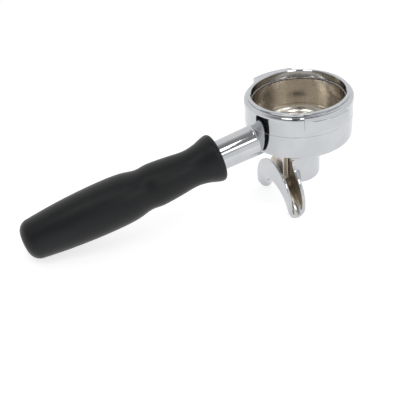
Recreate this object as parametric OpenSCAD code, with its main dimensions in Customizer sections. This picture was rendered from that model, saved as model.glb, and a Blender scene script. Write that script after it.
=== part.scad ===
// Double-spout portafilter for a 58 mm espresso group, in millimetres.
// The origin is on the cup's axis, in the plane of the rim. +Z points up out of the cup,
// the handle points towards -Y, and the lugs and the two spouts lie along X.

/* [Cup] */
// Radius of the seat that takes the filter basket's wall
seat_r = 30.25; // [29.5:0.05:30.6]
// Outer radius of the cup's wall
cup_r = 35.1; // [34.6:0.1:36]
// Height of the cup from the rim to its underside
cup_h = 30; // [28:0.5:32]
// Outer radius of the raised ring round the mouth
rim_r = 32.5; // [32:0.1:33]
// Height of the raised ring above the shoulder
rim_h = 1.3; // [1:0.1:1.8]
// Inner radius of the cup below the basket seat
well_r = 29.9; // [29:0.1:30]
// Depth of the well from the rim to the floor, at its wall
well_depth = 31; // [29:0.5:31.2]
// Depth of the basket seat, down to the spring groove
seat_depth = 4.7; // [3.5:0.1:5.5]
// How far the cup's underside bulges below its foot
under_h = 3; // [2.6:0.1:3.2]

/* [Lugs] */
// Outer radius over the two bayonet lugs
lug_r = 39.3; // [38.5:0.1:40]
// Angle that each lug spans
lug_span = 44; // [38:1:50]
// Angle from the X axis to the middle of a lug
lug_turn = -2; // [-4:1:4]
// Depth of the lugs' top face below the rim
lug_top = 1.7; // [1.5:0.1:2.2]
// Depth of the middle of the lugs' lower face below the rim
lug_bottom = 9.4; // [8.5:0.1:10.5]
// Slope of the lugs' lower face, which pulls the cup up as it turns
lug_slope = 3.6; // [2:0.1:5]

/* [Neck and handle] */
// Depth below the rim at which the handle's axis crosses the cup's axis
handle_drop = 21.73; // [20:0.1:23]
// Angle of the handle below the horizontal
handle_tilt = 7.7; // [5:0.1:10]
// Radius of the neck where it enters the grip
neck_r = 9.9; // [9.5:0.1:10.5]
// Distance along the handle's axis from the cup's axis to the end of the neck
neck_end = 62.4; // [61:0.1:63]
// Distance along the handle's axis to the grip's front edge
grip_start = 60; // [59:0.1:61]
// Distance along the handle's axis to the grip's rear face
grip_end = 191.4; // [189:0.2:194]
// Depth of the recess in the grip's front that takes the neck and the washer
recess_depth = 3.7; // [3.3:0.1:4.5]

/* [Handle thread] */
// Radius of the handle's M12 stud
stud_r = 5.95; // [5.9:0.01:6]
// Length of stud that stands out of the neck
stud_out = 20.5; // [18:0.5:21]
// Length of stud inside the neck
stud_in = 16; // [12:0.5:18]
// Thickness of the washer
washer_t = 1.3; // [1:0.1:1.5]

/* [Spout] */
// Radius of the spout's hub
hub_r = 14.6; // [14.2:0.1:15]
// Height of the hub
hub_h = 31; // [30:0.1:32]
// Radius of the G3/8 thread that the spout screws on to
nose_r = 8.3; // [8.2:0.05:8.35]
// Length of the threaded nose under the cup
nose_h = 8; // [7.5:0.1:8.2]
// Distance from the cup's axis to the plane of the two channels
channel_offset = 14.8; // [14.5:0.1:15.2]
// Outer half-width of a channel
channel_w = 6; // [5.8:0.1:6.3]
// Thickness of the channels' front wall and floor
channel_wall = 1.9; // [1.6:0.1:2]
// Thickness of the channels' rear wall, on the side of the hub
rear_wall = 2.5; // [2:0.1:2.8]
// Depth below the rim to the top of the arch that the channels' rims follow
arch_top = 48; // [46:0.1:49]
// Radius of the arch that the channels' rims follow
arch_r = 24.7; // [24.5:0.1:26.5]
// Depth below the rim to the underside of the channels, midway between them
belly_top = 68.2; // [66.5:0.1:69]
// Radius of the arch that the channels' undersides follow
belly_r = 20; // [19.5:0.1:21.5]
// Depth below the rim to the two tips that the coffee leaves
tip_depth = 82; // [81:0.1:83]
// Radius of the arch that the channels' floors follow out to the tips
floor_r = 27.6; // [27:0.1:28]

/* [Seal and spring] */
// Thickness of the seal above the spout's hub
seal_t = 1.5; // [1.2:0.1:2]
// Diameter of the basket spring's wire
wire_d = 1; // [0.9:0.1:1.2]

/* [Hidden] */

$fn = 96;
eps = 0.01;
// A turning fit has this radial gap.
thread_gap = 0.05;

// Cup
lip_round = 0.45;
nose_edge = 0.8;
groove_edge = 0.3;
drain_edge = 1;
foot_round = 2;
shoulder_round = 2.6;
turned_step = 0.12;     // the turned upper wall is this much thinner than the forged lower wall
turned_depth = 14.2;
seat_chamfer = 0.4;
groove_h = wire_d + 0.15;
wire_opening = 20;      // the angle between the basket spring's two ends
wire_out = 0.1;
groove_r = seat_r + 0.85;
well_round = 7;
floor_fall = 0.6;       // the floor falls this much to the drain
under_r = 25.5;         // the bulge under the cup is flat inside this radius
drain_r = 5;

// Lugs
lug_round = 0.5;

// Neck
neck_root_r = 10.35;
root_start = 16.5;      // the neck's root leaves the cup's underside here
root_start_r = 8.5;
root_full = 24;
neck_edge = 0.5;

// Grip: radii along the handle's axis, from the front flare over the waist and the swell to the rear
GRIP = [
    [63.5, 15.9], [67, 14.9], [72, 13.3], [80, 12.25], [92, 13.4], [104, 14.25], [112.5, 13.7],
    [122, 15.5], [133, 16.15], [150, 15.9], [167, 14.9], [181, 13.45]
];
grip_front_round = 2.4;
grip_rear_r = 13.1;
grip_rear_round = 7.5;
grip_crown = 0.3;

stud_gap = 0.5;         // between the stud's inner end and the bottom of its hole
stud_edge = 1;
stud_len = stud_in + stud_out - stud_gap;

insert_r = 8.2;
insert_len = 22;
insert_waist = 1;
mould_gap = 0.03;       // the grip is moulded round its insert with this clearance
washer_gap = 0.4;

// Spout
under = cup_h + under_h;                            // depth of the face that the seal is pressed against
inner_half = channel_w - (channel_wall + rear_wall) / 2;
inner_offset = channel_offset + (rear_wall - channel_wall) / 2;
chamber_r = 12.7;
chamber_top = under + nose_h + 1.2;
chamber_cone = 1.6;
chamber_floor = 60;
hub_round = 4.6;
hub_gap = 0.3;          // between the hub's edge and the cup
window_top = 43;
seat_lip = 1.2;
seal_gap = 0.3;
post_w = 11;            // the post at the front of the hub, which parts the coffee between the channels
post_r = 16.2;
post_bottom = 66.3;
post_gap = 1;           // between the post's top and the seal
gusset_r = 9;           // the rear walls' rims sweep up into the hub
gusset_x = 20.3;
gusset_depth = 45.6;
gusset_reach = 15;
gusset_h = gusset_r + 1.5;
gusset_mid = -gusset_depth - gusset_r + gusset_h / 2;

far = 60;               // longer than anything that it cuts

// Places along the handle's axis: s runs outwards from the cup's axis.
module on_handle(s = 0)
    translate([0, 0, -handle_drop])
        rotate([90 + handle_tilt, 0, 0])
            translate([0, 0, s])
                children();

// Points of an arc in a plane, from angle a to angle b.
function arc(cx, cy, r, a, b, steps = 10) =
    [for (i = [0 : steps]) let (t = a + (b - a) * i / steps) [cx + r * cos(t), cy + r * sin(t)]];

// A smooth curve through a list of points.
function between(p, q, r, s, t) =
    0.5 * (2 * q + (r - p) * t + (2 * p - 5 * q + 4 * r - s) * t * t + (3 * q - p - 3 * r + s) * t * t * t);
function smooth(pts, steps = 4) =
    let (n = len(pts))
    [
        for (i = [0 : n - 2], k = [0 : steps - 1])
            between(pts[max(i - 1, 0)], pts[i], pts[i + 1], pts[min(i + 2, n - 1)], k / steps),
        pts[n - 1]
    ];

// Cup ------------------------------------------------------------------------------------------

module cup_outside() {
    shoulder = -rim_h;
    wall_r = cup_r - turned_step;
    rotate_extrude()
        polygon(concat(
            [[0, 0]],
            arc(rim_r - lip_round, -lip_round, lip_round, 90, 0),
            [[rim_r, shoulder]],
            arc(wall_r - shoulder_round, shoulder - shoulder_round, shoulder_round, 90, 0),
            [[wall_r, -turned_depth], [cup_r, -turned_depth - turned_step]],
            arc(cup_r - foot_round, -cup_h + foot_round, foot_round, 0, -90),
            [[under_r, -under], [nose_r, -under], [nose_r, -under - nose_h + nose_edge],
             [nose_r - nose_edge, -under - nose_h], [0, -under - nose_h]]
        ));
}

module cup_inside() {
    floor_z = -well_depth;
    rotate_extrude()
        polygon(concat(
            [[0, 1], [seat_r + seat_chamfer + 1, 1], [seat_r + seat_chamfer, 0], [seat_r, -seat_chamfer],
             [seat_r, -seat_depth], [groove_r, -seat_depth - groove_edge],
             [groove_r, -seat_depth - groove_h], [well_r, -seat_depth - groove_h - groove_edge]],
            arc(well_r - well_round, floor_z + well_round, well_round, 0, -88),
            [[drain_r + drain_edge, floor_z - floor_fall], [drain_r, floor_z - floor_fall - drain_edge],
             [drain_r, -far], [0, -far]]
        ));
}

module lug_ring() {
    outline = concat(
        [[cup_r - 2, -lug_bottom - 4]],
        [[lug_r, -lug_bottom - 4]],
        arc(lug_r - lug_round, -lug_top - lug_round, lug_round, 0, 90),
        [[cup_r - 2, -lug_top]]
    );
    rotate([0, 0, -lug_span / 2])
        rotate_extrude(angle = lug_span)
            polygon(outline);
}

module lug() {
    difference() {
        rotate([0, 0, lug_turn])
            lug_ring();
        // The sloping lower face
        translate([0, 0, -lug_bottom])
            rotate([-lug_slope, 0, 0])
                translate([0, -far / 2, -far])
                    cube(far);
    }
}

module neck() {
    on_handle()
        rotate_extrude()
            polygon([
                [0, root_start], [root_start_r, root_start], [neck_root_r, root_full], [neck_root_r, cup_r],
                [neck_r, neck_end - neck_edge], [neck_r - neck_edge, neck_end], [0, neck_end]
            ]);
}

module portafilter_body()
    color("silver")
    difference() {
        union() {
            cup_outside();
            for (side = [0, 180])
                rotate([0, 0, side])
                    lug();
            neck();
        }
        cup_inside();
        on_handle(neck_end - stud_in)
            cylinder(r = stud_r + thread_gap, h = stud_in + 1);
    }

module basket_spring()
    color("gainsboro")
    translate([0, 0, -seat_depth - (groove_h + groove_edge) / 2])
        rotate([0, 0, -wire_opening])
            rotate_extrude(angle = 360 - wire_opening)
                translate([seat_r + wire_out, 0])
                    circle(d = wire_d, $fn = 24);

// Spout ----------------------------------------------------------------------------------------

// A ring round an axis along Y. Its section is a round-bottomed channel that is open outwards.
module channel_ring(offset, half_w, top, inner_r) {
    centre_r = inner_r + half_w;
    translate([0, -offset, -top - inner_r])
        rotate([90, 0, 0])
            rotate_extrude()
                polygon(concat(
                    arc(centre_r, 0, half_w, 270, 90, 20),
                    [[centre_r + far / 3, half_w], [centre_r + far / 3, -half_w]]
                ));
}

// The solid inside the arch that the rims follow, with straight legs down to the tips.
module under_arch()
    translate([0, -channel_offset, -arch_top - arch_r])
        rotate([90, 0, 0])
            linear_extrude(far, center = true) {
                circle(r = arch_r);
                translate([-arch_r, -far])
                    square([2 * arch_r, far]);
            }

// Each channel ends in a round tongue.
module tongues()
    translate([-far, -channel_offset, -tip_depth + channel_w])
        rotate([90, 0, 90])
            linear_extrude(2 * far) {
                circle(r = channel_w);
                translate([-channel_w - 1, 0])
                    square([2 * channel_w + 2, far]);
            }

module hub() {
    low = -under - hub_h;
    top = -under - hub_gap;
    rotate_extrude()
        polygon(concat(
            [[0, low]],
            arc(hub_r - hub_round, low + hub_round, hub_round, 270, 360),
            [[hub_r, top - hub_gap], [hub_r - hub_gap, top], [0, top]]
        ));
}

module hub_hollow() {
    seat_z = -under - seal_t;
    rotate_extrude()
        polygon([
            [0, 0], [hub_r - seat_lip, 0], [hub_r - seat_lip, seat_z],
            [nose_r + thread_gap, seat_z], [nose_r + thread_gap, -chamber_top],
            [chamber_r, -chamber_top - chamber_cone], [chamber_r, -chamber_floor], [0, -chamber_floor]
        ]);
}

// The rear walls' rims sweep up to the hub on both sides.
module gussets()
    for (side = [-1, 1])
        difference() {
            translate([side * 0.75 * gusset_reach, -inner_offset + inner_half + rear_wall / 2, gusset_mid])
                cube([gusset_reach / 2, rear_wall, gusset_h], center = true);
            translate([side * gusset_x, 0, -gusset_depth])
                rotate([90, 0, 0])
                    cylinder(r = gusset_r, h = far, center = true);
        }

// The hub is cut through to its chamber over the width of the channels.
module windows()
    translate([-hub_r, -inner_offset - inner_half, -chamber_floor])
        cube([2 * hub_r, 2 * inner_half, chamber_floor - window_top]);

module post()
    translate([0, 0, -post_bottom])
        intersection() {
            difference() {
                cylinder(r = post_r, h = post_bottom - under - seal_t - post_gap);
                translate([0, 0, -1])
                    cylinder(r = chamber_r, h = far);
            }
            translate([-post_w / 2, -far, 0])
                cube([post_w, far, far]);
        }

module double_spout()
    color("silver") {
        difference() {
            union() {
                hub();
                intersection() {
                    channel_ring(channel_offset, channel_w, belly_top, belly_r);
                    under_arch();
                    tongues();
                }
                gussets();
            }
            hub_hollow();
            difference() {
                channel_ring(inner_offset, inner_half, belly_top - channel_wall, floor_r);
                cylinder(r = hub_r - eps, h = 4 * far, center = true);
            }
            windows();
        }
        post();
    }

module spout_seal()
    color("dimgray")
    translate([0, 0, -under - seal_t])
        difference() {
            cylinder(r = hub_r - seat_lip - seal_gap, h = seal_t);
            translate([0, 0, -1])
                cylinder(r = nose_r + seal_gap, h = seal_t + 2);
        }

// Handle ---------------------------------------------------------------------------------------

module grip_outside() {
    front_r = GRIP[0][1] - grip_front_round;
    rotate_extrude()
        polygon(concat(
            [[0, grip_start]],
            [for (p = arc(grip_start + grip_front_round, front_r, grip_front_round, 180, 90))
                [p[1], p[0]]],
            [for (p = smooth(GRIP)) [p[1], p[0]]],
            [for (p = arc(grip_end - grip_rear_round, grip_rear_r - grip_rear_round, grip_rear_round, 76, 0))
                [p[1], p[0]]],
            [[0, grip_end + grip_crown]]
        ));
}

// A turned slug with a waist, which holds it in the moulded grip.
module insert_shape(r = insert_r, length = insert_len)
    rotate_extrude()
        polygon([
            [0, 0], [r, 0], [r, length * 0.3], [r - insert_waist, length * 0.36],
            [r - insert_waist, length * 0.64], [r, length * 0.7], [r, length], [0, length]
        ]);

module handle_grip()
    color([0.1, 0.1, 0.11])
    on_handle()
        difference() {
            grip_outside();
            translate([0, 0, grip_start - 1])
                cylinder(r = neck_r + washer_gap, h = recess_depth + 1);
            translate([0, 0, grip_start + recess_depth - eps])
                insert_shape(insert_r + mould_gap, insert_len + mould_gap);
        }

module handle_insert()
    color("goldenrod")
    on_handle(grip_start + recess_depth)
        difference() {
            insert_shape();
            translate([0, 0, -1])
                cylinder(r = stud_r + thread_gap, h = insert_len - 1);
        }

module handle_stud()
    color("lightsteelblue")
    on_handle(neck_end - stud_in + stud_gap)
        rotate_extrude()
            polygon([
                [0, 0], [stud_r - stud_edge, 0], [stud_r, stud_edge], [stud_r, stud_len - stud_edge],
                [stud_r - stud_edge, stud_len], [0, stud_len]
            ]);

module handle_washer()
    color("lightgray")
    on_handle(neck_end)
        difference() {
            cylinder(r = neck_r - washer_gap, h = washer_t);
            translate([0, 0, -1])
                cylinder(r = stud_r + washer_gap, h = washer_t + 2);
        }

portafilter_body();
basket_spring();
double_spout();
spout_seal();
handle_grip();
handle_insert();
handle_stud();
handle_washer();
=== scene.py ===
"""Looks of a double-spout portafilter: chrome plating over brass, a soft black grip and a pale studio.

Lengths are in metres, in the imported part's own frame: the origin is on the cup's axis in the plane
of its rim, +Z points up out of the cup and the handle points towards -Y.
"""
import math

import bpy
import numpy as np
from mathutils import Matrix, Vector


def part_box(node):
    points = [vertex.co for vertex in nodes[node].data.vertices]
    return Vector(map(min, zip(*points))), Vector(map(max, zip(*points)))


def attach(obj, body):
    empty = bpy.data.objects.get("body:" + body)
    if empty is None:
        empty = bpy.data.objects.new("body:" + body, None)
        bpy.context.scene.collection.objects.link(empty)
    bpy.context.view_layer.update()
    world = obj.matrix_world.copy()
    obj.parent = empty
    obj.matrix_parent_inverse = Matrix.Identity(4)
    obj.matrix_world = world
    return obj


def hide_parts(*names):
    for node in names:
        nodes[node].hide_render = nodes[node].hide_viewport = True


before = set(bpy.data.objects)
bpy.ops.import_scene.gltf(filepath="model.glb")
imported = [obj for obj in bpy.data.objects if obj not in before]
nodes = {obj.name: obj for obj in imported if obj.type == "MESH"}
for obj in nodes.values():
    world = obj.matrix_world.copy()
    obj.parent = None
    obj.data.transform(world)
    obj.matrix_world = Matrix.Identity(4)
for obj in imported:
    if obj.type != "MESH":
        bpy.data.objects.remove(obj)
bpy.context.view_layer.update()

# Places from the frame --------------------------------------------------------------------------

MM = 0.001
TAU = 2 * math.pi

spout_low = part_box("double_spout")[0]
body_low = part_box("portafilter_body")[0]

# Cup
CUP_R = 35.1 * MM              # wall
WELL_R = 29.9 * MM             # inside, under the spring
DRAIN_R = 5 * MM
CORNER_R = 23.9 * MM           # outside this radius the well's floor curves up into its wall
CORNER_SLOPE = 0.7             # of a cone that parts the well's corner from the underside
CUP_DEPTH = 33 * MM            # rim to underside
WIRE_DEPTH = 5.4 * MM          # rim to the basket spring's wire
# Handle
HANDLE_DROP = 21.73 * MM       # the handle's axis crosses the cup's axis this far under the rim
HANDLE_TILT = math.radians(7.7)
NECK_R = 10.34 * MM            # where the neck leaves the cup
NECK_END = 62.4 * MM           # along the handle's axis
FILLET_R = 1.3 * MM            # cast corner between the neck and the cup
# Spout
HUB_R = 14.6 * MM
CHANNEL_Y = -15.1 * MM         # the middle plane of the two channels
CHANNEL_HALF = 3.8 * MM        # half the width between a channel's walls
FLOOR_TOP = -66.3 * MM         # top of the channels' floor, midway between the tips
FLOOR_R = 27.6 * MM            # the arch that the floor follows
CHAMBER_R = 12.7 * MM
CHAMBER_FLOOR = -60 * MM
WINDOW_TOP = -43 * MM
POST_R = 16.2 * MM             # front of the post between the two windows
POST_HALF = 5.5 * MM
# Threads: radius, height of the ridge and pitch
NOSE_THREAD = (8.3 * MM, 0.3 * MM, 1.337 * MM)
STUD_THREAD = (5.95 * MM, 0.25 * MM, 1.75 * MM)
STUD_LENGTH = 19.5 * MM        # of thread outside the neck


# Shared mesh code -------------------------------------------------------------------------------

def new_piece(name, vertices, faces):
    """A smooth-shaded mesh object from lists of points and faces."""
    mesh = bpy.data.meshes.new(name)
    mesh.from_pydata([tuple(v) for v in vertices], [], faces)
    mesh.validate()
    mesh.shade_smooth()
    piece = bpy.data.objects.new(name, mesh)
    bpy.context.scene.collection.objects.link(piece)
    return piece


def apply_modifiers(piece):
    """Bakes a piece's modifiers into its mesh."""
    graph = bpy.context.evaluated_depsgraph_get()
    mesh = bpy.data.meshes.new_from_object(piece.evaluated_get(graph))
    piece.modifiers.clear()
    piece.data = mesh
    return piece


def sweep_rings(rings, closed):
    """Vertices and quads of a tube through rings of points, with a cap on each end unless closed."""
    count, size = len(rings), len(rings[0])
    vertices = [p for ring in rings for p in ring]
    faces = []
    for i in range(count if closed else count - 1):
        a, b = i * size, (i + 1) % count * size
        for k in range(size):
            n = (k + 1) % size
            faces.append((a + k, b + k, b + n, a + n))
    if not closed:
        faces.append(tuple(range(size)))
        faces.append(tuple(reversed(range((count - 1) * size, count * size))))
    return vertices, faces


def copy_of(node, name):
    """A copy of a CAD node's mesh as a piece of its own."""
    piece = bpy.data.objects.new(name, nodes[node].data.copy())
    bpy.context.scene.collection.objects.link(piece)
    return piece


def points_of(mesh):
    """A mesh's vertices as an array."""
    at = np.empty(len(mesh.vertices) * 3)
    mesh.vertices.foreach_get("co", at)
    return at.reshape(-1, 3)


handle_axis = Vector((0, -math.cos(HANDLE_TILT), -math.sin(HANDLE_TILT)))
handle_side = Vector((1, 0, 0))
handle_up = handle_axis.cross(handle_side)


def on_handle(along, out=0.0, turn=0.0):
    """A point at a distance along the handle's axis and a distance out from it."""
    return (Vector((0, 0, -HANDLE_DROP)) + handle_axis * along
            + (handle_side * math.cos(turn) + handle_up * math.sin(turn)) * out)


# Shared material code ---------------------------------------------------------------------------

class Paint:
    """A node material with one Principled shader, and short calls for the nodes that feed it."""

    def __init__(self, name, **sockets):
        self.material = bpy.data.materials.new(name)
        self.material.use_nodes = True
        self.tree = self.material.node_tree
        self.shader = self.tree.nodes["Principled BSDF"]
        for socket, value in sockets.items():
            self.shader.inputs[socket.replace("_", " ")].default_value = value
        self.place = self.add("ShaderNodeTexCoord").outputs["Object"]

    def add(self, kind, **settings):
        node = self.tree.nodes.new(kind)
        for key, value in settings.items():
            setattr(node, key, value)
        return node

    def feed(self, socket, value):
        if isinstance(value, bpy.types.NodeSocket):
            self.tree.links.new(value, socket)
        else:
            socket.default_value = value

    def maths(self, operation, *values):
        node = self.add("ShaderNodeMath", operation=operation)
        for socket, value in zip(node.inputs, values):
            self.feed(socket, value)
        return node.outputs[0]

    def ramp(self, value, low, high, bottom=0.0, top=1.0):
        """value mapped from low..high to bottom..top, with a smooth start and end."""
        node = self.add("ShaderNodeMapRange", interpolation_type="SMOOTHSTEP")
        for socket, number in zip(node.inputs, (value, low, high, bottom, top)):
            self.feed(socket, number)
        return node.outputs[0]

    def noise(self, scale, detail=2.0, stretch=None):
        """Noise with this many features to the metre, stretched along the axes."""
        place = self.place
        if stretch:
            node = self.add("ShaderNodeMapping")
            self.feed(node.inputs["Vector"], place)
            node.inputs["Scale"].default_value = stretch
            place = node.outputs[0]
        node = self.add("ShaderNodeTexNoise")
        self.feed(node.inputs["Vector"], place)
        node.inputs["Scale"].default_value = scale
        node.inputs["Detail"].default_value = detail
        return node.outputs["Fac"]

    def blend(self, share, a, b):
        """A colour between a and b."""
        node = self.add("ShaderNodeMix", data_type="RGBA")
        self.feed(node.inputs["Factor"], share)
        self.feed(node.inputs["A"], (*a, 1) if isinstance(a, tuple) else a)
        self.feed(node.inputs["B"], (*b, 1) if isinstance(b, tuple) else b)
        return node.outputs["Result"]

    def colour(self, value):
        self.feed(self.shader.inputs["Base Color"], value)

    def roughness(self, value):
        self.feed(self.shader.inputs["Roughness"], value)

    def bump(self, height, depth, strength=1.0):
        """A relief of this depth in metres."""
        node = self.add("ShaderNodeBump")
        node.inputs["Strength"].default_value = strength
        node.inputs["Distance"].default_value = depth
        self.feed(node.inputs["Height"], height)
        self.feed(self.shader.inputs["Normal"], node.outputs[0])

    def axes(self):
        node = self.add("ShaderNodeSeparateXYZ")
        self.feed(node.inputs[0], self.place)
        return node.outputs

    def attribute(self, name):
        node = self.add("ShaderNodeAttribute", attribute_name=name)
        return node.outputs["Fac"]


CHROME_LIGHT, CHROME_DARK = (0.545, 0.558, 0.575), (0.505, 0.518, 0.538)
NICKEL_LIGHT, NICKEL_DARK = (0.72, 0.675, 0.61), (0.60, 0.555, 0.49)
# A lighter plate colour that paints a highlight on the front of the spout's post.
PAINTED_HIGHLIGHT = (0.83, 0.82, 0.81)
CHANNEL_LIGHT, CHANNEL_DARK = (0.62, 0.565, 0.49), (0.47, 0.425, 0.36)


def plating(name, inner_share, inner_light, inner_dark, inner_rough, painted_highlight_share=None):
    """Chrome plate with faint clouds and wiping marks. inner_share(paint) is 1 where the plate is
    thin and the nickel under it shows warm, as it is inside the cup and the channels.
    The share given last is 1 where the plate gets a painted highlight: a lighter colour and more
    roughness."""
    paint = Paint(name, Metallic=1.0)
    inner = inner_share(paint)
    clouds = paint.ramp(paint.noise(55, 3), 0.35, 0.65)
    outside = paint.blend(clouds, CHROME_DARK, CHROME_LIGHT)
    streaks = paint.ramp(paint.noise(130, 2, (1, 1, 0.12)), 0.3, 0.7)
    inside = paint.blend(streaks, inner_dark, inner_light)
    colour = paint.blend(inner, outside, inside)
    marks = paint.ramp(paint.noise(1400, 3, (1, 1, 4)), 0.35, 0.75, 0.035, 0.085)
    inner_dull = paint.ramp(paint.noise(900, 2), 0.3, 0.7, inner_rough, inner_rough + 0.09)
    dull = paint.maths("MULTIPLY", inner_dull, inner)
    rough = paint.maths("ADD", marks, dull)
    if painted_highlight_share:
        # Painted highlight: where this share is 1, the plate is painted a lighter colour and made
        # rougher.
        painted_highlight_zone = painted_highlight_share(paint)
        colour = paint.blend(painted_highlight_zone, colour, PAINTED_HIGHLIGHT)
        rough = paint.maths("ADD", rough, paint.maths("MULTIPLY", painted_highlight_zone, 0.4))
    paint.colour(colour)
    paint.roughness(rough)
    paint.bump(paint.noise(260, 2), 0.012 * MM, 0.6)
    return paint.material


def inside_cup(paint):
    """1 in the well of the cup, under the basket spring."""
    x, y, z = paint.axes()
    out = paint.maths("SQRT", paint.maths("ADD", paint.maths("MULTIPLY", x, x),
                                          paint.maths("MULTIPLY", y, y)))
    under_wire = paint.ramp(z, -WIRE_DEPTH - 1.2 * MM, -WIRE_DEPTH - 0.3 * MM, 1.0, 0.0)
    in_bore = paint.ramp(out, WELL_R + 0.3 * MM, WELL_R + 1.5 * MM, 1.0, 0.0)
    beyond = paint.maths("MAXIMUM", paint.maths("SUBTRACT", out, CORNER_R), 0.0)
    from_floor = paint.maths("SUBTRACT", z, paint.maths("MULTIPLY", beyond, CORNER_SLOPE))
    over_floor = paint.ramp(from_floor, -CUP_DEPTH + 0.5 * MM, -CUP_DEPTH + 0.9 * MM)
    in_drain = paint.ramp(out, DRAIN_R + 0.2 * MM, DRAIN_R + 0.6 * MM, 1.0, 0.0)
    either = paint.maths("MAXIMUM", over_floor, in_drain)
    return paint.maths("MULTIPLY", paint.maths("MULTIPLY", under_wire, in_bore), either)


def inside_spout(paint):
    return paint.attribute("inner")


# The front of the spout's post, where the plate gets a painted highlight.
def post_front_painted_highlight(paint):
    return paint.attribute("painted_highlight_zone")


def soft_plastic(name):
    """Satin black plastic with a fine moulded grain and slightly rubbed high spots."""
    paint = Paint(name, Roughness=0.42, IOR=1.46, Specular_IOR_Level=0.26)
    paint.shader.inputs["Sheen Weight"].default_value = 0.06
    paint.shader.inputs["Sheen Roughness"].default_value = 0.5
    clouds = paint.ramp(paint.noise(40, 3), 0.3, 0.7)
    fine = paint.noise(3200, 2)
    paint.colour(paint.blend(clouds, (0.0060, 0.0066, 0.0076), (0.0086, 0.0094, 0.0106)))
    paint.roughness(paint.ramp(fine, 0.3, 0.7, 0.36, 0.5))
    paint.bump(fine, 0.03 * MM, 0.35)
    return paint.material


def turned_metal(name, light, dark, rough, turned=(1, 1, 1), scale=1500):
    """Bare metal with fine tool marks."""
    paint = Paint(name, Metallic=1.0)
    marks = paint.ramp(paint.noise(scale, 2, turned), 0.3, 0.7)
    paint.colour(paint.blend(marks, dark, light))
    paint.roughness(paint.ramp(paint.noise(600, 2), 0.3, 0.7, rough, rough + 0.12))
    paint.bump(marks, 0.01 * MM, 0.4)
    return paint.material


def rubber(name):
    """Grey-black seal rubber with a dusty bloom."""
    paint = Paint(name, IOR=1.5)
    bloom = paint.ramp(paint.noise(350, 4), 0.35, 0.75)
    paint.colour(paint.blend(bloom, (0.018, 0.018, 0.019), (0.045, 0.045, 0.046)))
    paint.roughness(paint.ramp(bloom, 0.0, 1.0, 0.55, 0.75))
    paint.bump(paint.noise(1800, 2), 0.02 * MM, 0.5)
    return paint.material


# Materials --------------------------------------------------------------------------------------

body_plate = plating("plated_brass", inside_cup, NICKEL_LIGHT, NICKEL_DARK, 0.10)
spout_plate = plating("plated_spout", inside_spout, CHANNEL_LIGHT, CHANNEL_DARK, 0.26,
                       post_front_painted_highlight)
grip_black = soft_plastic("grip_plastic")
spring_steel = turned_metal("spring_steel", (0.40, 0.385, 0.37), (0.30, 0.29, 0.28), 0.2)
washer_steel = turned_metal("washer_steel", (0.56, 0.56, 0.57), (0.44, 0.44, 0.46), 0.24)
zinc_steel = turned_metal("zinc_steel", (0.60, 0.62, 0.66), (0.46, 0.49, 0.53), 0.26)
bare_brass = turned_metal("bare_brass", (0.78, 0.58, 0.27), (0.62, 0.43, 0.17), 0.22)
seal_rubber = rubber("seal_rubber")


def dress(piece, material):
    """Puts one material on all of a piece."""
    if not piece.material_slots:
        piece.data.materials.append(material)
    for place in piece.material_slots:
        place.material = material


for node, material in {
    "portafilter_body": body_plate,
    "basket_spring": spring_steel,
    "spout_seal": seal_rubber,
    "handle_insert": bare_brass,
    "handle_stud": zinc_steel,
    "handle_washer": washer_steel,
}.items():
    dress(nodes[node], material)


# The cast spout ---------------------------------------------------------------------------------

SPOUT_VOXEL = 0.42 * MM
SPOUT_SOFTEN = 7
# The channels' warm tone fades to this share between these two heights, towards the tips.
FADE_HIGH, FADE_LOW = -70 * MM, -77 * MM
TIP_SHARE = 0.25


def spout_zones(at):
    """How far each point lies in two zones: the warm surfaces that the coffee touches, which are
    the channels, the windows and the chamber, and the front of the post, which gets a painted
    highlight."""
    x, y, z = at.T
    across = np.abs(y - CHANNEL_Y)
    out = np.hypot(x, z - (FLOOR_TOP - FLOOR_R))
    middle = FLOOR_R + CHANNEL_HALF
    from_line = np.where(out > middle, across, np.hypot(across, out - middle))
    in_channel = from_line < CHANNEL_HALF + 0.3 * MM
    from_axis = np.hypot(x, y)
    clear_of_hub = from_axis > HUB_R - 0.2 * MM
    over_ledge = z > CHAMBER_FLOOR - 0.3 * MM
    in_window = (across < CHANNEL_HALF + 0.25 * MM) & (z < WINDOW_TOP + 0.3 * MM) & over_ledge
    in_chamber = (from_axis < CHAMBER_R + 0.25 * MM) & over_ledge
    over_post = (np.abs(x) < POST_HALF + 0.3 * MM) & (y < 0) & over_ledge
    on_its_face = (from_axis > POST_R - 0.5 * MM) & (from_axis < POST_R + 0.6 * MM)
    post_front = over_post & on_its_face
    inner = ((in_channel & clear_of_hub) | in_window | in_chamber) & ~post_front
    above_tips = np.clip((z - FADE_LOW) / (FADE_HIGH - FADE_LOW), 0, 1)
    return inner * (TIP_SHARE + (1 - TIP_SHARE) * above_tips), post_front * 1.0


def make_spout():
    """The CAD spout with the rounded rims, corners and tips of a polished casting."""
    piece = copy_of("double_spout", "spout_casting")
    remesh = piece.modifiers.new("cast", "REMESH")
    remesh.mode = "VOXEL"
    remesh.voxel_size = SPOUT_VOXEL
    remesh.use_smooth_shade = True
    soften = piece.modifiers.new("soften", "SMOOTH")
    soften.factor = 0.5
    soften.iterations = SPOUT_SOFTEN
    apply_modifiers(piece)
    for name, share in zip(("inner", "painted_highlight_zone"), spout_zones(points_of(piece.data))):
        attribute = piece.data.attributes.new(name, "FLOAT", "POINT")
        attribute.data.foreach_set("value", share.astype(np.float32))
    piece.data.materials.clear()
    dress(piece, spout_plate)
    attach(piece, "spout")
    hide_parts("double_spout")


make_spout()


# The neck's root --------------------------------------------------------------------------------

FILLET_STEPS = 8
FILLET_TURNS = 160


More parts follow.
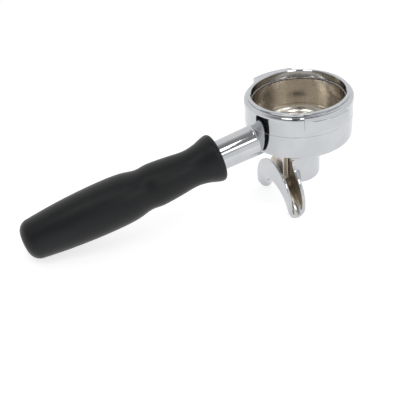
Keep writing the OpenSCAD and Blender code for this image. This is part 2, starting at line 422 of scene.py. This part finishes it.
def fillet_ring(turn, radius):
    """A closed section of the corner fillet: the arc that a ball of this radius touches between
    the neck and the cup's wall, and one point buried in the metal behind it."""
    start = on_handle(0, NECK_R + radius, turn)
    a = handle_axis.x ** 2 + handle_axis.y ** 2
    b = 2 * (start.x * handle_axis.x + start.y * handle_axis.y)
    c = start.x ** 2 + start.y ** 2 - (CUP_R + radius) ** 2
    centre = start + handle_axis * ((-b + math.sqrt(b * b - 4 * a * c)) / (2 * a))
    to_neck = -(handle_side * math.cos(turn) + handle_up * math.sin(turn))
    to_cup = -Vector((centre.x, centre.y, 0)).normalized()
    arc = [centre + to_neck.slerp(to_cup, i / FILLET_STEPS) * radius
           for i in range(FILLET_STEPS + 1)]
    buried = centre + (to_neck + to_cup).normalized() * radius * 1.9
    return arc + [buried]


def make_fillet():
    """The fillet runs over the top of the neck and fades out at both sides of the cup's foot."""
    low, high = math.radians(-22), math.radians(202)
    rings = []
    for i in range(FILLET_TURNS + 1):
        t = i / FILLET_TURNS
        fade = min(1.0, 7 * t, 7 * (1 - t))
        fade = fade * fade * (3 - 2 * fade)
        rings.append(fillet_ring(low + (high - low) * t, FILLET_R * (0.06 + 0.94 * fade)))
    piece = new_piece("neck_fillet", *sweep_rings(rings, closed=False))
    dress(piece, body_plate)
    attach(piece, "cup")


make_fillet()


# Screw threads ----------------------------------------------------------------------------------

def make_thread(name, thread, start, along, side, length, material):
    """A helical ridge on a cylinder, which fades in and out over its first and last half turn."""
    radius, height, pitch = thread
    per_turn = 60
    across = along.cross(side)
    count = int((length / pitch - 1) * per_turn)
    rings = []
    for i in range(count + 1):
        turn = i / per_turn
        fade = min(1.0, 2 * turn, 2 * (count / per_turn - turn))
        centre = start + along * (pitch * (turn + 0.5))
        out = side * math.cos(TAU * turn) + across * math.sin(TAU * turn)
        crest = radius + height * fade - 0.02 * MM * (1 - fade)
        root = radius - 0.2 * MM
        rings.append([
            centre + out * root - along * pitch * 0.42,
            centre + out * crest - along * pitch * 0.08,
            centre + out * crest + along * pitch * 0.08,
            centre + out * root + along * pitch * 0.42,
        ])
    piece = new_piece(name, *sweep_rings(rings, closed=False))
    dress(piece, material)
    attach(piece, "cup")


nose_start = Vector((0, 0, -CUP_DEPTH - 0.4 * MM))
nose_length = -CUP_DEPTH - body_low.z - 0.8 * MM
make_thread("nose_thread", NOSE_THREAD, nose_start, Vector((0, 0, -1)), Vector((1, 0, 0)),
            nose_length, body_plate)
make_thread("stud_thread", STUD_THREAD, on_handle(NECK_END + 0.3 * MM), handle_axis, handle_side,
            STUD_LENGTH, zinc_steel)


# The grip ---------------------------------------------------------------------------------------

def make_grip():
    """The CAD grip with its facets joined and shaded as one smooth moulding."""
    piece = copy_of("handle_grip", "grip_moulding")
    weld = piece.modifiers.new("weld", "WELD")
    weld.merge_threshold = 0.002 * MM
    apply_modifiers(piece)
    piece.data.shade_smooth()
    piece.data.materials.clear()
    dress(piece, grip_black)
    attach(piece, "grip")
    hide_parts("handle_grip")


make_grip()


# Studio -----------------------------------------------------------------------------------------

FLOOR_RADIUS = 0.55
FLOOR_CENTRE = (0, -0.09, 0)
FLOOR_WHITE = (0.50, 0.50, 0.50, 1)
FLOOR_GLOW = 0.68
DIM_SIDE = (-36, 62)           # azimuth and elevation
DIM_EDGE = (0.50, 0.86)        # cosines of the angle from there at which it starts and ends
DIM_LEVEL = 0.33


def resting_slope():
    """The slope of the table under the part, which stands on the spout's two tips and on the end
    of the grip."""
    tips = spout_low.z
    at = points_of(nodes["handle_grip"].data)
    return float(np.min((at[:, 2] - tips) / (CHANNEL_Y - at[:, 1])))


def make_floor():
    slope = resting_slope()
    count = 96
    centre = Vector(FLOOR_CENTRE)
    rim = [Vector((math.cos(TAU * i / count), math.sin(TAU * i / count), 0)) * FLOOR_RADIUS + centre
           for i in range(count)]
    for p in [*rim, centre]:
        p.z = spout_low.z + (CHANNEL_Y - p.y) * slope
    faces = [(i, (i + 1) % count, count) for i in range(count)]
    floor = new_piece("floor", [*rim, centre], faces)
    paint = Paint("floor_white", Roughness=0.9)
    paint.shader.inputs["Base Color"].default_value = FLOOR_WHITE
    paint.shader.inputs["Emission Color"].default_value = (1, 1, 1, 1)
    paint.shader.inputs["Emission Strength"].default_value = FLOOR_GLOW
    # The floor has only an upper side, so that it never hides the part from below.
    clear = paint.add("ShaderNodeBsdfTransparent")
    sides = paint.add("ShaderNodeMixShader")
    back = paint.add("ShaderNodeNewGeometry").outputs["Backfacing"]
    output = paint.tree.nodes["Material Output"]
    paint.feed(sides.inputs[0], back)
    paint.feed(sides.inputs[1], paint.shader.outputs[0])
    paint.feed(sides.inputs[2], clear.outputs[0])
    paint.feed(output.inputs["Surface"], sides.outputs[0])
    dress(floor, paint.material)


def toward(azimuth, elevation):
    """The direction at an azimuth and an elevation in degrees."""
    a, e = math.radians(azimuth), math.radians(elevation)
    return Vector((math.cos(e) * math.cos(a), math.cos(e) * math.sin(a), math.sin(e)))


def make_world():
    """A white room that is dimmer high up on the camera's side."""
    world = bpy.data.worlds.new("white_room")
    bpy.context.scene.world = world
    world.use_nodes = True
    tree = world.node_tree
    place = tree.nodes.new("ShaderNodeTexCoord")
    facing = tree.nodes.new("ShaderNodeVectorMath")
    facing.operation = "DOT_PRODUCT"
    facing.inputs[1].default_value = toward(*DIM_SIDE)
    fade = tree.nodes.new("ShaderNodeMapRange")
    fade.interpolation_type = "SMOOTHSTEP"
    for socket, number in zip(list(fade.inputs)[1:5], (*DIM_EDGE, 1.0, DIM_LEVEL)):
        socket.default_value = number
    background = tree.nodes["Background"]
    background.inputs["Color"].default_value = (1, 1, 1, 1)
    tree.links.new(place.outputs["Generated"], facing.inputs[0])
    tree.links.new(facing.outputs["Value"], fade.inputs[0])
    tree.links.new(fade.outputs[0], background.inputs["Strength"])


def make_light(name, azimuth, elevation, distance, width, height, power):
    """A soft box that faces the part."""
    lamp = bpy.data.lights.new(name, "AREA")
    lamp.shape = "RECTANGLE"
    lamp.size, lamp.size_y = width, height
    lamp.energy = power
    light = bpy.data.objects.new(name, lamp)
    direction = toward(azimuth, elevation)
    light.location = direction * distance
    light.rotation_euler = direction.to_track_quat("Z", "Y").to_euler()
    bpy.context.scene.collection.objects.link(light)


def make_card(name, azimuth, elevation, distance, width, height, shade):
    """A dim card that the chrome reflects as a darker band. It isn't seen directly."""
    direction = toward(azimuth, elevation)
    turn = direction.to_track_quat("Z", "Y")
    corners = [Vector((x * width / 2, y * height / 2, 0))
               for x, y in ((-1, -1), (1, -1), (1, 1), (-1, 1))]
    card = new_piece(name, [turn @ c + direction * distance for c in corners], [(0, 1, 2, 3)])
    paint = Paint(name + "_paint", Roughness=1.0, Specular_IOR_Level=0.0)
    paint.shader.inputs["Base Color"].default_value = (0, 0, 0, 1)
    paint.shader.inputs["Emission Color"].default_value = (shade, shade, shade, 1)
    paint.shader.inputs["Emission Strength"].default_value = 1.0
    dress(card, paint.material)
    card.visible_camera = False
    card.visible_shadow = False
    card.visible_diffuse = False


CAMERA_AT = Vector((0.28266, -0.16333, 0.16153))
CAMERA_AZIMUTH, CAMERA_ELEVATION, CAMERA_ROLL = -17.30, 36.68, -8.10
CAMERA_LENS = 49.5


def make_camera():
    """The photograph's viewpoint: three quarters from the front right, level with the table."""
    forward = -toward(CAMERA_AZIMUTH, CAMERA_ELEVATION)
    level = forward.cross(Vector((0, 0, 1))).normalized()
    right = level * math.cos(math.radians(CAMERA_ROLL)) + level.cross(forward) * math.sin(
        math.radians(CAMERA_ROLL))
    up = right.cross(forward)
    camera = bpy.data.objects.new("camera", bpy.data.cameras.new("camera"))
    camera.data.lens = CAMERA_LENS
    camera.data.sensor_width = 36
    camera.data.clip_start = 0.01
    camera.matrix_world = Matrix((
        (right.x, up.x, -forward.x, CAMERA_AT.x),
        (right.y, up.y, -forward.y, CAMERA_AT.y),
        (right.z, up.z, -forward.z, CAMERA_AT.z),
        (0, 0, 0, 1),
    ))
    bpy.context.scene.collection.objects.link(camera)
    bpy.context.scene.camera = camera


make_floor()
make_world()
make_light("key_box", 13, 37, 1.2, 0.7, 0.24, 1.7)
make_light("left_box", -68, 66, 1.2, 0.26, 0.36, 1.3)
make_light("right_box", -6, 66, 1.2, 0.26, 0.36, 1.3)
make_card("ceiling_gap", 15, 53, 1.2, 0.8, 0.12, 0.30)
make_card("camera_side", -36, 45, 0.9, 0.15, 0.75, 0.04)
make_camera()
bpy.context.scene.view_settings.view_transform = "Standard"
